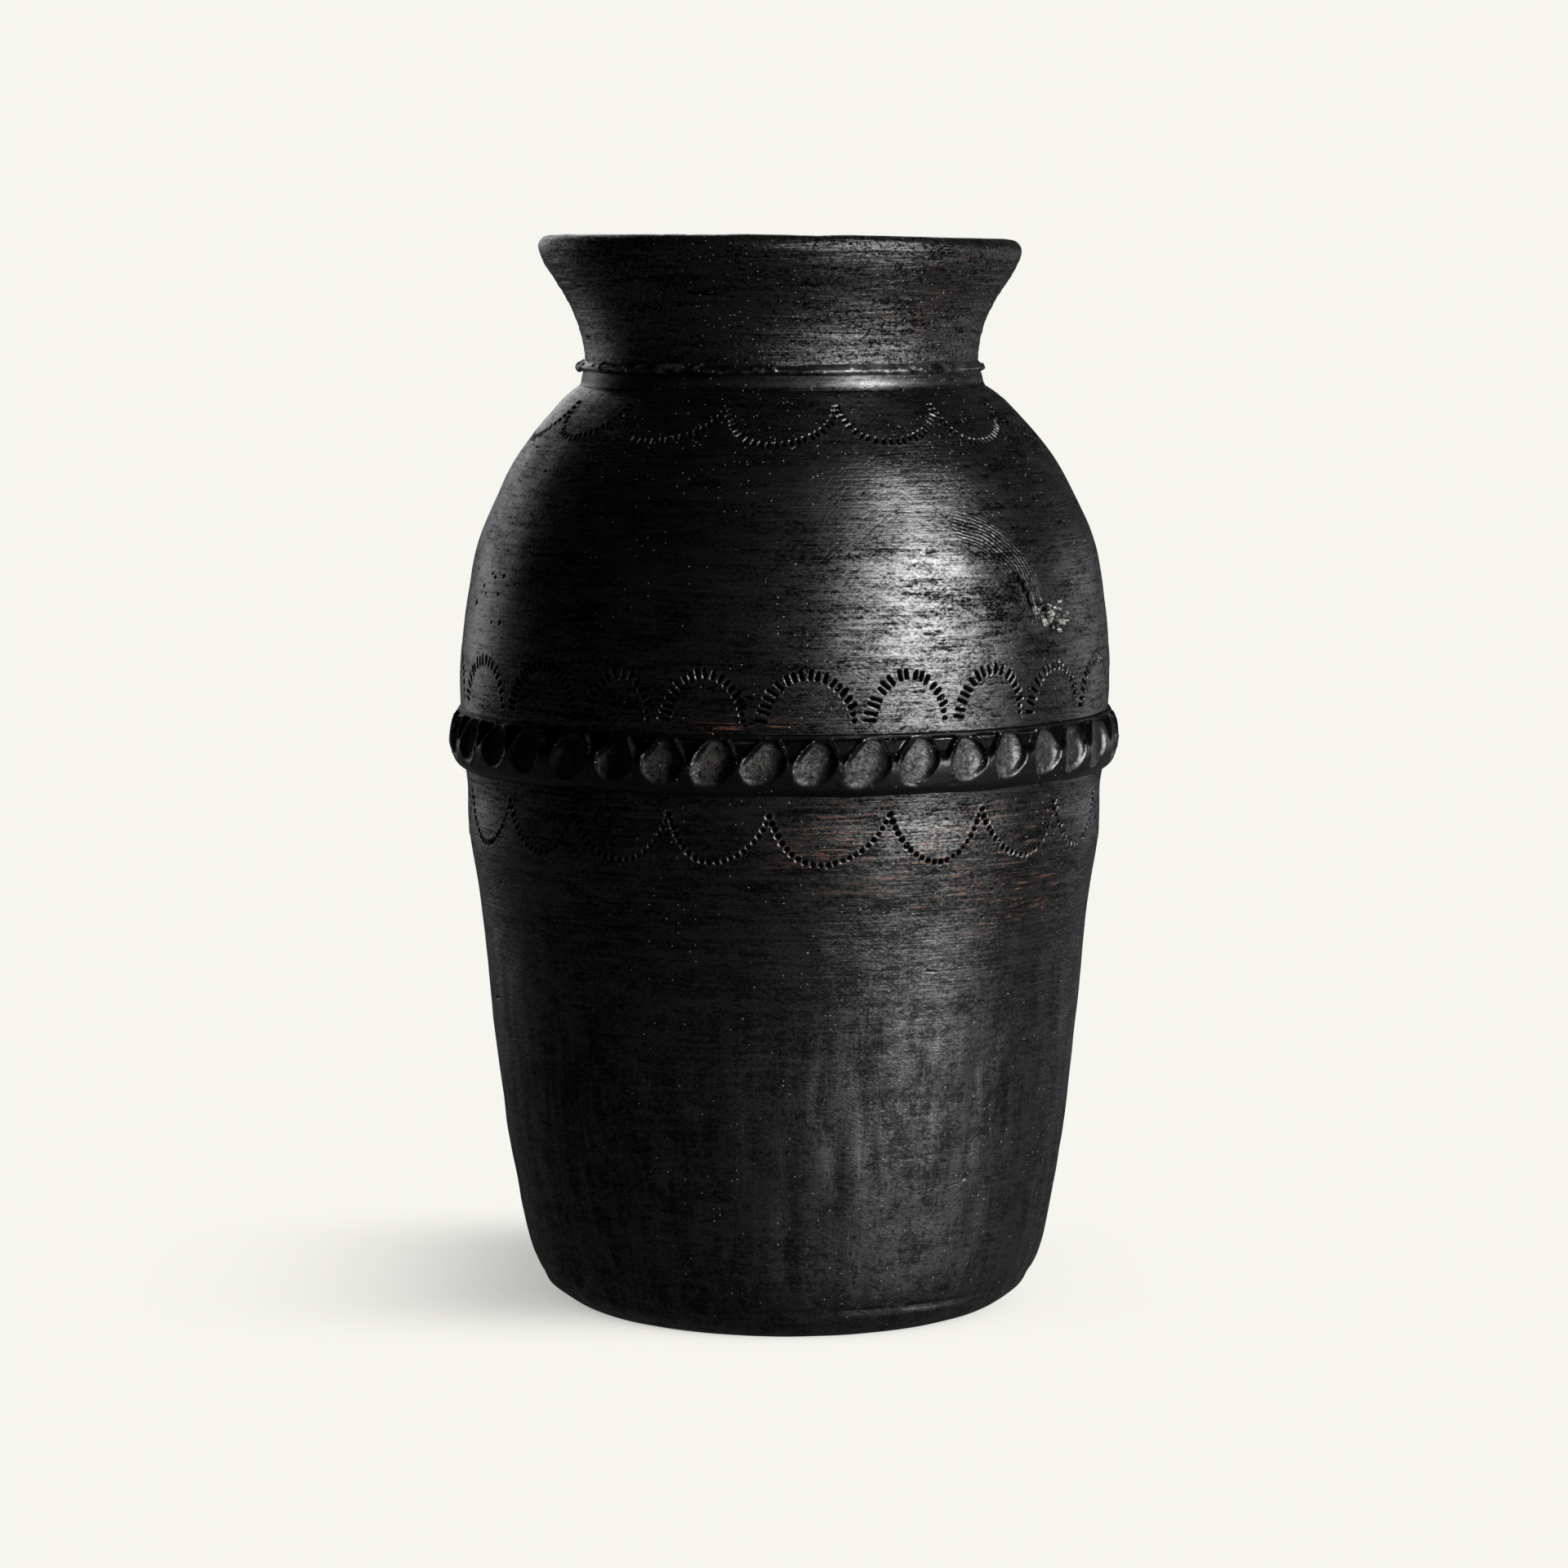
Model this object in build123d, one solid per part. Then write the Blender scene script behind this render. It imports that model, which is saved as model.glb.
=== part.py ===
"""Hand-built black clay pot: eight clay pieces that the potter makes separately and joins while leather-hard.

Units are millimetres. The origin is the centre of the foot on the ground, +Z is up, and every piece is
turned about the Z axis. Each outline below is a list of (radius, height) points read from the foot upwards.
"""

import math
import os

from build123d import *

# Driving dimensions of the whole pot
POT_HEIGHT = 225.0
WALL = 5.5                     # body wall, outer face to inner face, measured along the radius
FOOT_RADIUS = 43.0             # flat face that rests on the ground

# Base slab with its trimmed, rounded edge
SLAB_THICKNESS = 7.0
SLAB_EDGE_RADIUS = 52.4
SLAB_EDGE_BULGE = (49.3, 2.5)  # one point on the rounded edge between the foot and the wall

# Coil pressed into the inside corner between slab and wall
CORNER_COIL_REACH = 5.0        # inwards over the slab
CORNER_COIL_RISE = 5.5         # upwards against the wall
CORNER_COIL_HOLLOW = (-1.4, 1.6)  # a point on its hollow face, from the inside corner

# Body wall: two halves that meet at the waist
WAIST_HEIGHT = 119.5
WAIST_SCARF_DROP = 3.0         # the mating faces slope down towards the inside, as bevelled clay edges do
LOWER_OUTLINE = [
    (SLAB_EDGE_RADIUS, SLAB_THICKNESS),
    (55.7, 17.5),
    (57.9, 29.0),
    (61.9, 61.0),
    (64.7, 85.5),
    (66.8, 103.0),
    (67.9, WAIST_HEIGHT),
]
SHOULDER_TOP = (42.4, 194.4)
UPPER_OUTLINE = [
    (67.9, WAIST_HEIGHT),
    (68.6, 131.0),
    (67.6, 145.0),
    (63.4, 165.3),
    (56.2, 179.0),
    (48.4, 189.1),
    SHOULDER_TOP,
]
UPPER_INNER_OUTLINE = [
    (62.4, WAIST_HEIGHT - WAIST_SCARF_DROP),
    (63.1, 130.0),
    (62.2, 144.0),
    (58.6, 161.6),
    (52.0, 174.8),
    (44.0, 184.9),
    (36.4, 191.8),
]

# Neck: stands on the shoulder and flares to the rim
NECK_FOOT_RADIUS = 40.8
NECK_INNER_FOOT = (36.4, 191.8)
NECK_TOP = (50.3, 221.6)
NECK_OUTLINE = [
    (NECK_FOOT_RADIUS, SHOULDER_TOP[1]),
    (41.1, 200.5),
    (42.4, 206.4),
    (45.5, 213.2),
    (48.9, 218.4),
    NECK_TOP,
]
NECK_INNER_TOP = (44.6, 220.2)
NECK_INNER_OUTLINE = [
    NECK_INNER_FOOT,
    (36.3, 199.5),
    (37.6, 206.9),
    (41.0, 214.3),
    NECK_INNER_TOP,
]

# Rim coil: closes the mouth with a rounded lip
LIP_OUTER_BULGE = (49.6, 224.1)
LIP_CROWN = (47.3, POT_HEIGHT)
LIP_INNER_BULGE = (44.9, 223.7)

# Neck collar: a thin ridge above a flattened roll, wrapped over the neck seam
COLLAR_TOP = 199.3
COLLAR_RIDGE = (42.9, 197.9)
COLLAR_GROOVE = (42.05, 196.7)
COLLAR_ROLL = (42.5, 195.5)
COLLAR_SINK = 1.0              # how far the collar reaches inside the neck outline before the neck is cut away

# Waist band: a coil over the waist seam, pressed with a fingertip all the way round
BAND_OUTLINE = [
    (67.6, 114.3),
    (70.2, 116.6),
    (70.9, 120.3),
    (70.1, 123.8),
    (68.5, 126.8),
]
BAND_SINK = 2.0                # how far the coil reaches inside the wall outline before the walls are cut away
PRESS_COUNT = 39
PRESS_TIP_RADIUS = 5.4         # the fingertip, as a ball
PRESS_FLOOR_RADIUS = 69.1      # deepest point of a press, from the pot's axis
PRESS_HEIGHT = 121.2


def turned(outer, inner):
    """Solid of revolution between two outlines that both run upwards, each a smooth curve."""
    with BuildPart() as piece:
        with BuildSketch(Plane.XZ):
            with BuildLine():
                outside = Spline(*outer)
                inside = Spline(*inner)
                Line(outside @ 0, inside @ 0)
                Line(outside @ 1, inside @ 1)
            make_face()
        revolve(axis=Axis.Z)
    return piece.part


def base_slab():
    """Round slab that the pot stands on, with its edge trimmed back to the foot."""
    with BuildPart() as piece:
        with BuildSketch(Plane.XZ):
            with BuildLine():
                Line((0, SLAB_THICKNESS), (0, 0))
                Line((0, 0), (FOOT_RADIUS, 0))
                ThreePointArc((FOOT_RADIUS, 0), SLAB_EDGE_BULGE, (SLAB_EDGE_RADIUS, SLAB_THICKNESS))
                Line((SLAB_EDGE_RADIUS, SLAB_THICKNESS), (0, SLAB_THICKNESS))
            make_face()
        revolve(axis=Axis.Z)
    return piece.part


def lower_wall():
    """Lower half of the body, from the slab to the waist."""
    inner = [(radius - WALL, height) for radius, height in LOWER_OUTLINE]
    inner[-1] = (inner[-1][0], WAIST_HEIGHT - WAIST_SCARF_DROP)
    return turned(LOWER_OUTLINE, inner)


def upper_wall():
    """Upper half of the body, from the waist over the shoulder, with a ledge around the neck."""
    with BuildPart() as piece:
        with BuildSketch(Plane.XZ):
            with BuildLine():
                outside = Spline(*UPPER_OUTLINE)
                inside = Spline(*UPPER_INNER_OUTLINE)
                Line(outside @ 0, inside @ 0)
                Line(outside @ 1, (NECK_FOOT_RADIUS, SHOULDER_TOP[1]))
                Line((NECK_FOOT_RADIUS, SHOULDER_TOP[1]), inside @ 1)
            make_face()
        revolve(axis=Axis.Z)
    return piece.part


def corner_coil(wall):
    """Coil smoothed into the inside corner, with a hollow face."""
    corner_radius = SLAB_EDGE_RADIUS - WALL
    start = (corner_radius - CORNER_COIL_REACH, SLAB_THICKNESS)
    end = (corner_radius + WALL / 2, SLAB_THICKNESS + CORNER_COIL_RISE)
    hollow = (corner_radius + CORNER_COIL_HOLLOW[0], SLAB_THICKNESS + CORNER_COIL_HOLLOW[1])
    with BuildPart() as piece:
        with BuildSketch(Plane.XZ):
            with BuildLine():
                ThreePointArc(start, hollow, end)
                Line(end, (end[0], SLAB_THICKNESS))
                Line((end[0], SLAB_THICKNESS), start)
            make_face()
        revolve(axis=Axis.Z)
    return piece.part - wall


def neck_collar(wall, neck):
    """Ridge and roll wrapped over the joint of neck and shoulder."""
    seat = SHOULDER_TOP[1]
    inside_radius = NECK_FOOT_RADIUS - COLLAR_SINK
    with BuildPart() as piece:
        with BuildSketch(Plane.XZ):
            with BuildLine():
                profile = Spline(
                    (SHOULDER_TOP[0], seat),
                    COLLAR_ROLL,
                    COLLAR_GROOVE,
                    COLLAR_RIDGE,
                    (NECK_FOOT_RADIUS, COLLAR_TOP),
                )
                Polyline(
                    profile @ 1,
                    (inside_radius, COLLAR_TOP),
                    (inside_radius, seat),
                    profile @ 0,
                )
            make_face()
        revolve(axis=Axis.Z)
    return piece.part - wall - neck


def waist_band(lower, upper):
    """Flattened coil over the waist seam, with a row of fingertip presses."""
    inside_radius = LOWER_OUTLINE[-1][0] - BAND_SINK
    with BuildPart() as piece:
        with BuildSketch(Plane.XZ):
            with BuildLine():
                profile = Spline(*BAND_OUTLINE)
                Polyline(
                    profile @ 1,
                    (inside_radius, BAND_OUTLINE[-1][1]),
                    (inside_radius, BAND_OUTLINE[0][1]),
                    profile @ 0,
                )
            make_face()
        revolve(axis=Axis.Z)
    ring = piece.part - lower - upper
    reach = PRESS_FLOOR_RADIUS + PRESS_TIP_RADIUS
    presses = []
    for index in range(PRESS_COUNT):
        turn = 2 * math.pi * index / PRESS_COUNT
        centre = (reach * math.cos(turn), reach * math.sin(turn), PRESS_HEIGHT)
        presses.append(Pos(*centre) * Sphere(PRESS_TIP_RADIUS))
    return ring - presses


def rim_coil():
    """Rounded lip on top of the flared neck."""
    with BuildPart() as piece:
        with BuildSketch(Plane.XZ):
            with BuildLine():
                Spline(NECK_TOP, LIP_OUTER_BULGE, LIP_CROWN, LIP_INNER_BULGE, NECK_INNER_TOP)
                Line(NECK_INNER_TOP, NECK_TOP)
            make_face()
        revolve(axis=Axis.Z)
    return piece.part


def main():
    lower = lower_wall()
    upper = upper_wall()
    neck = turned(NECK_OUTLINE, NECK_INNER_OUTLINE)
    pieces = {
        "base_slab": base_slab(),
        "base_corner_coil": corner_coil(lower),
        "lower_wall": lower,
        "upper_wall": upper,
        "waist_band": waist_band(lower, upper),
        "neck": neck,
        "neck_collar": neck_collar(upper, neck),
        "rim_coil": rim_coil(),
    }
    os.makedirs("parts", exist_ok=True)
    for name, piece in pieces.items():
        export_step(piece, f"parts/{name}.step")


main()
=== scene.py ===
"""Looks of the hand-built black clay pot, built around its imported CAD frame.

Lengths in the modelling code and in the materials are millimetres; build_mesh() turns them into metres. The
lights and the camera are placed in metres. Angles run round the pot's vertical axis: 0 is the front (-Y) and
they grow towards +X. Every CAD piece gets a finer piece of the same shape that also carries the unevenness of
hand work, the stamped scallops and the fingertip presses.
"""

from functools import partial
import math

import bpy
import numpy as np
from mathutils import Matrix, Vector


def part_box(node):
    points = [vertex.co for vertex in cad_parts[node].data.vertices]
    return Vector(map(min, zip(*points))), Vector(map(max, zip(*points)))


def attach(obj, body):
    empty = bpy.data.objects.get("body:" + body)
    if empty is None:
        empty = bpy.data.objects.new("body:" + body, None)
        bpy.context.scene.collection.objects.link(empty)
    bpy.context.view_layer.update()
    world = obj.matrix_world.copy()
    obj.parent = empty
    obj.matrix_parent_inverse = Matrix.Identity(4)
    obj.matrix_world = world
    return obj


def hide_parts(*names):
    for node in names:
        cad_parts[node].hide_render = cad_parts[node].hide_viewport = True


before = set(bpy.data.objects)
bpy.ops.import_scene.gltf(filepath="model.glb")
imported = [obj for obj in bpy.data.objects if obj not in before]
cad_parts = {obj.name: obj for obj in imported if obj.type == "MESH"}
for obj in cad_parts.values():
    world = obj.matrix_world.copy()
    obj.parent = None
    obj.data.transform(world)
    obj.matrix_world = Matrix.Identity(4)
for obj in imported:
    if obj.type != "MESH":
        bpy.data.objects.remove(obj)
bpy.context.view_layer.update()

MM = 0.001
TURN = 2 * math.pi


def top(node):
    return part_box(node)[1].z / MM


def bottom(node):
    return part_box(node)[0].z / MM


SLAB_TOP = top("base_slab")
WAIST = top("lower_wall")
WAIST_INSIDE = bottom("upper_wall")
SHOULDER = top("upper_wall")
NECK_INSIDE = bottom("neck")
NECK_TOP = top("neck")
COLLAR_TOP = top("neck_collar")
BAND_BOTTOM = bottom("waist_band")
BAND_TOP = top("waist_band")
POT_TOP = top("rim_coil")


# ---------------- curves and noise

OUTLINE_SAMPLES = 4000
NOISE_BELOW = 20                # the random lattice starts this far under the foot
NOISE_SPAN = 300                # and reaches this far up


def spline(knots, values, at):
    """Natural cubic through (knots, values), read at the given places."""
    knots = np.asarray(knots, float)
    values = np.asarray(values, float)
    gaps = np.diff(knots)
    count = len(knots)
    system = np.eye(count)
    right = np.zeros(count)
    for i in range(1, count - 1):
        system[i, i - 1] = gaps[i - 1]
        system[i, i] = 2 * (gaps[i - 1] + gaps[i])
        system[i, i + 1] = gaps[i]
        right[i] = 3 * ((values[i + 1] - values[i]) / gaps[i] - (values[i] - values[i - 1]) / gaps[i - 1])
    curve = np.linalg.solve(system, right)
    at = np.asarray(at, float)
    i = np.clip(np.searchsorted(knots, at) - 1, 0, count - 2)
    h = gaps[i]
    t = at - knots[i]
    slope = (values[i + 1] - values[i]) / h - h * (2 * curve[i] + curve[i + 1]) / 3
    return values[i] + t * (slope + t * (curve[i] + t * (curve[i + 1] - curve[i]) / (3 * h)))


def outline(points, step):
    """Smooth (radius, height) curve through the points, in steps of equal length."""
    points = np.asarray(points, float)
    chord = np.concatenate([[0], np.cumsum(np.hypot(*np.diff(points, axis=0).T))])
    dense = np.linspace(0, chord[-1], OUTLINE_SAMPLES)
    radius = spline(chord, points[:, 0], dense)
    height = spline(chord, points[:, 1], dense)
    run = np.concatenate([[0], np.cumsum(np.hypot(np.diff(radius), np.diff(height)))])
    count = max(2, int(round(run[-1] / step)))
    places = np.linspace(0, run[-1], count + 1)
    return np.interp(places, run, radius), np.interp(places, run, height), places


def outward(radius, height):
    """Unit normals, to the right of travel, along an outline."""
    dr = np.gradient(radius)
    dz = np.gradient(height)
    size = np.hypot(dr, dz)
    return dz / size, -dr / size


def lattice_noise(angle, height, cells_round, cell_height, seed):
    """Smooth random values from -1 to 1 that join up after a full turn."""
    rows = int(NOISE_SPAN / cell_height) + 4
    values = np.random.default_rng(seed).uniform(-1, 1, (rows, cells_round))
    across = (np.asarray(angle) / TURN) % 1.0 * cells_round
    up = (np.asarray(height) + NOISE_BELOW) / cell_height
    across, up = np.broadcast_arrays(across, up)
    column = np.floor(across).astype(int)
    row = np.clip(np.floor(up).astype(int), 0, rows - 2)
    fx = across - column
    fy = np.clip(up - row, 0, 1)
    fx = fx * fx * (3 - 2 * fx)
    fy = fy * fy * (3 - 2 * fy)
    left = column % cells_round
    right = (column + 1) % cells_round
    low = values[row, left] * (1 - fx) + values[row, right] * fx
    high = values[row + 1, left] * (1 - fx) + values[row + 1, right] * fx
    return low * (1 - fy) + high * fy


def step_up(value, low, high):
    """0 below low, 1 above high, smooth between."""
    t = np.clip((np.asarray(value, float) - low) / (high - low), 0, 1)
    return t * t * (3 - 2 * t)


def window(value, low, low_full, high_full, high):
    """0 outside low to high, 1 from low_full to high_full, smooth between."""
    return step_up(value, low, low_full) * (1 - step_up(value, high_full, high))


# ---------------- hand-made unevenness

AXIS_HEIGHTS = [0, 45, 90, 120, 170, 205, 226]
AXIS_SIDEWAYS = [0.35, 0.2, 0.1, 0.25, 0.5, -0.7, -0.95]
AXIS_FORWARDS = [0.0, 0.2, 0.3, 0.0, -0.3, 0.1, 0.3]
RIM_TILT_START = 200.0          # below this height the rim's tilt dies away
RIM_FRONT_RISE = 0.55
RIM_RIGHT_DROP = 0.45


def lumps(angle, height):
    """Swelling of the whole form, shared by all pieces so that their seams meet."""
    oval = 0.22 * np.cos(2 * angle + 0.6) + 0.13 * np.cos(3 * angle + 2.0 + height / 60)
    fade = step_up(height, 0.5, 9)
    broad = 0.30 * lattice_noise(angle, height, 7, 38, 11)
    middle = 0.13 * lattice_noise(angle, height, 19, 17, 12)
    return (oval + broad + middle) * fade


def place(angle, radius, height):
    """Points (x, y, z) of the uneven pot."""
    height = np.asarray(height, float)
    radius = radius + lumps(angle, height)
    lift = step_up(height, RIM_TILT_START, NECK_TOP)
    lift = lift * (RIM_FRONT_RISE * np.cos(angle) - RIM_RIGHT_DROP * np.sin(angle))
    x = radius * np.sin(angle) + spline(AXIS_HEIGHTS, AXIS_SIDEWAYS, height)
    y = -radius * np.cos(angle) + spline(AXIS_HEIGHTS, AXIS_FORWARDS, height)
    return np.stack([x, y, height + lift], axis=-1)


# ---------------- meshes

SHARP_ANGLE = math.radians(62)
FACE_STEP = 0.3                 # point spacing up the outer faces of neck and rim
WALL_STEP = 1.2                 # size of the body walls' coarse cells
WALL_FADE = 1.5                 # the marks on a wall die away this close to its ends
INNER_STEP = 2.0
FINGER_PITCH = 8.5              # between the rows that fingers left on the inner faces


def build_mesh(name, points, faces, marks):
    """Object from points in millimetres; marks are values per point that the materials read."""
    mesh = bpy.data.meshes.new(name)
    mesh.from_pydata((np.asarray(points) * MM).tolist(), [], faces)
    for mark, values in marks.items():
        layer = mesh.attributes.new(mark, "FLOAT", "POINT")
        layer.data.foreach_set("value", np.asarray(values, np.float32))
    mesh.polygons.foreach_set("use_smooth", [True] * len(mesh.polygons))
    mesh.set_sharp_from_angle(angle=SHARP_ANGLE)
    mesh.validate()
    mesh.update()
    thing = bpy.data.objects.new(name, mesh)
    bpy.context.scene.collection.objects.link(thing)
    return thing


def ring_faces(rows, columns, start=0, closed=True):
    """Quads between rows of points that each run round the pot."""
    row = np.arange(rows if closed else rows - 1)[:, None]
    column = np.arange(columns)[None, :]
    here = row * columns
    above = (row + 1) % rows * columns
    onward = (column + 1) % columns
    quads = np.stack([here + column, here + onward, above + onward, above + column], axis=-1)
    return (quads.reshape(-1, 4) + start).tolist()


def ring_piece(name, radius, height, relief, angles, marks, lift=0.0, upward=1.0):
    """Closed ring from one outline loop. relief moves each point out along the outline's normal, of which it
    takes upward as the share of the vertical part; lift moves it up."""
    normal_r, normal_z = outward(radius, height)
    r = radius[:, None] + relief * normal_r[:, None]
    z = height[:, None] + lift + relief * normal_z[:, None] * upward
    points = place(angles[None, :], r, z).reshape(-1, 3)
    values = {mark: np.broadcast_to(value, relief.shape).ravel() for mark, value in marks.items()}
    return build_mesh(name, points, ring_faces(len(radius), len(angles)), values)


def even_angles(count):
    return np.arange(count) / count * TURN - math.pi


# ---------------- stamped marks

FINE_PER_COARSE = 5
SCRAPE_DEPTH = 0.06             # scrapes deeper than this get painted shade in the material
MARK_MARGIN = 0.7               # room round a mark for its soft edge and its burr
MARK_EDGE = (0.35, 1.15)        # a mark's side rises between these shares of its half width
BURR_HEIGHT = 0.10              # of clay pushed up round a mark, as a share of the mark's depth
BURR_PLACE = 1.5                # its distance and breadth, as shares of the mark's half width
BURR_BREADTH = 0.3
TOUCH = 2.0                     # a mark's reach, as a share of its half width
ARC_SAMPLES = 400

# A stamp is a short stroke with round ends: (angle, place up the outline, tilt, length, width, depth). Its
# tilt is counterclockwise from level, in radians, and a negative depth makes a crumb.


def scallops(stamps, row, height, places, seed):
    """Adds a row of arcs, one between each two neighbouring tips, made of strokes that point outwards."""
    tips = tips_round(row["tips"], row["more"], seed)
    tip_at, belly_at = np.interp(row["heights"], height, places)
    radius = row["radius"]
    bow = row["bow"]
    random = np.random.default_rng(seed + 1)
    for start, end in zip(tips, tips[1:] + [tips[0] + TURN]):
        half = (end - start) * radius / 2 - row["inset"] * random.uniform(0.85, 1.15)
        rise = (belly_at - tip_at) * random.uniform(0.94, 1.05)
        skew = random.uniform(*row["skews"])
        sag = random.uniform(-0.4, 0.1) * math.copysign(1, rise)
        kind = random.uniform(0, 1)
        share = np.linspace(0, 1, ARC_SAMPLES)
        across = bow * (2 * share - 1) - (1 - bow) * np.cos(math.pi * share)
        across = half * (across + skew * np.sin(math.pi * share) ** 2)
        up = rise * (bow * 4 * share * (1 - share) + (1 - bow) * np.sin(math.pi * share)) - sag * share
        lean_at = np.arctan2(np.gradient(across), -np.gradient(up)) + (math.pi if rise < 0 else 0)
        lean_at = np.unwrap(lean_at)
        run = np.concatenate([[0], np.cumsum(np.hypot(np.diff(across), np.diff(up)))])
        count = int(run[-1] / (row["pitch"] * random.uniform(0.95, 1.06)))
        for k in range(count + 1):
            at = np.clip(k / count * run[-1] + random.uniform(-0.12, 0.12), 0, run[-1])
            x, y, part, lean = (float(np.interp(at, run, line)) for line in (across, up, share, lean_at))
            length, width, depth = row["look"](random, part, kind)
            lean += random.uniform(-0.16, 0.16)
            x += math.cos(lean) * length / 2
            y += math.sin(lean) * length / 2
            stamps.append(((start + end) / 2 + x / radius, tip_at + y, lean, length, width, depth))


def arch_look(random, part, kind):
    """Strokes above the band: long and thin on the left of each arch, short and round at its right foot."""
    length = 2.7 - 0.9 * part + random.uniform(-0.25, 0.25)
    if part > 0.94:
        length = 1.1
    return length, 0.70 + 0.16 * part, random.uniform(0.55, 0.75)


def swag_look(random, part, kind):
    """Marks below the band: some swags are strokes, others beads that shrink towards the right."""
    if kind < 0.45:
        return 1.9 - 0.5 * part + random.uniform(-0.2, 0.2), 0.85, random.uniform(0.5, 0.7)
    size = 1.2 - 0.3 * part + random.uniform(-0.12, 0.12)
    return size * 1.1, size, random.uniform(0.5, 0.7)


def necklace_look(random, part, kind):
    """Small strokes under the neck."""
    return 1.7 + random.uniform(-0.3, 0.3), 0.78, random.uniform(0.42, 0.6)


def tips_round(front, count, seed):
    """Tip angles in radians: those seen at the front, given in degrees, then count more round the back."""
    random = np.random.default_rng(seed)
    step = (360 - front[-1] + front[0]) / (count + 1)
    back = [front[-1] + step * (i + 1) + random.uniform(-1.2, 1.2) for i in range(count)]
    return [math.radians(tip) for tip in list(front) + back]


def press_stamps(stamps, angles, places, radii):
    """Depth map (negative inwards, millimetres) of all the marks on a wall's fine grid."""
    relief = np.zeros((len(places), len(angles)))
    touched = np.zeros(relief.shape, bool)
    step = places[1] - places[0]
    for angle, up, tilt, length, width, depth in stamps:
        margin = length / 2 + width / 2 + MARK_MARGIN
        low = max(0, int((up - margin - places[0]) / step))
        high = min(len(places), int((up + margin - places[0]) / step) + 2)
        if high <= low:
            continue
        radius = float(np.interp(up, places, radii))
        middle = (angle + math.pi) / TURN * len(angles)
        half = int(margin / radius / TURN * len(angles)) + 2
        columns = np.arange(int(middle) - half, int(middle) + half + 1)
        x = ((columns / len(angles) * TURN - math.pi) - angle)[None, :] * radius
        y = places[low:high, None] - up
        along = x * math.cos(tilt) + y * math.sin(tilt)
        across = -x * math.sin(tilt) + y * math.cos(tilt)
        straight = max(0.0, length / 2 - width / 2)
        past = np.abs(along) - straight
        distance = np.hypot(np.maximum(past, 0), across) / (width / 2)
        columns = columns % len(angles)
        block = np.ix_(np.arange(low, high), columns)
        shape = -depth * (1 - step_up(distance, *MARK_EDGE))
        if depth < 0:
            relief[block] = np.maximum(relief[block], shape)
        else:
            burr = BURR_HEIGHT * depth * np.exp(-((distance - BURR_PLACE) / BURR_BREADTH) ** 2)
            relief[block] = np.where(shape < -0.01, np.minimum(relief[block], shape), relief[block] + burr)
        touched[block] |= distance < TOUCH
    return relief, touched


def fine_cells(touched, rows, coarse_columns):
    """Which coarse cells turn fine: those where a mark touches any point."""
    k = FINE_PER_COARSE
    wide = np.concatenate([touched, touched[:, :1]], axis=1)
    fine = np.zeros((rows, coarse_columns), bool)
    for i in range(k + 1):
        for j in range(k + 1):
            fine |= wide[i:i + (rows - 1) * k + 1:k, j:j + (coarse_columns - 1) * k + 1:k]
    return fine


def number_points(fine, columns):
    """Numbers of the fine grid's points that the faces use; -1 elsewhere."""
    k = FINE_PER_COARSE
    used = np.zeros((len(fine) * k + 1, columns), bool)
    used[::k, ::k] = True
    for i, j in zip(*np.nonzero(fine)):
        across = np.arange(j * k, j * k + k + 1) % columns
        used[np.ix_(np.arange(i * k, i * k + k + 1), across)] = True
    number = np.full(used.shape, -1)
    number[used] = np.arange(used.sum())
    return number


def cell_faces(fine, number):
    """Small quads in fine cells; elsewhere one face a cell that takes in its neighbours' edge points."""
    k = FINE_PER_COARSE
    columns = number.shape[1]
    faces = []
    for i, j in np.ndindex(fine.shape):
        low, high = i * k, i * k + k
        left, right = j * k, (j * k + k) % columns
        if fine[i, j]:
            across = np.arange(j * k, j * k + k + 1) % columns
            block = number[low:high + 1][:, across]
            quads = np.stack([block[:-1, :-1], block[:-1, 1:], block[1:, 1:], block[1:, :-1]], axis=-1)
            faces.extend(quads.reshape(-1, 4).tolist())
            continue
        ring = np.concatenate([
            number[low, left:left + k], number[low:high, right], number[high, [right]],
            number[high, left + 1:left + k][::-1], number[low + 1:high + 1, left][::-1],
        ])
        faces.append(ring[ring >= 0].tolist())
    return faces


def inner_face(inner_points, ledge, angles):
    """Points of the wall's ledge and inner face, from the top down, with shallow marks of fingers."""
    radius, height, _ = outline(inner_points, INNER_STEP)
    radius = np.concatenate([[r for r, _ in ledge], radius[::-1]])
    height = np.concatenate([[z for _, z in ledge], height[::-1]])
    waver = 1.5 * lattice_noise(angles, height[:, None], 9, 30, 21)
    finger = 0.22 * np.sin(height[:, None] * TURN / FINGER_PITCH + waver)
    finger = finger + 0.25 * lattice_noise(angles, height[:, None], 24, 9, 22)
    low, high = height.min(), height.max()
    hold = np.minimum(step_up(height, low + 0.5, low + 4), 1 - step_up(height, high - 4, high - 0.5))
    return place(angles[None, :], radius[:, None] + finger * hold[:, None], height[:, None])


def row_over(row, column, columns):
    """Numbers along an end row of the grid over one coarse cell, with both corners."""
    k = FINE_PER_COARSE
    part = row[column * k:column * k + k]
    return part[part >= 0].tolist() + [int(row[(column + 1) % columns * k])]


def end_faces(number, start, rows):
    """Top and bottom faces of a wall, between its outer grid and the inner face's rows of points."""
    columns = number.shape[1] // FINE_PER_COARSE
    last = start + (rows - 1) * columns
    faces = []
    for j in range(columns):
        onward = (j + 1) % columns
        faces.append(row_over(number[-1], j, columns) + [start + onward, start + j])
        faces.append([last + j, last + onward] + row_over(number[0], j, columns)[::-1])
    return faces


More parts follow.
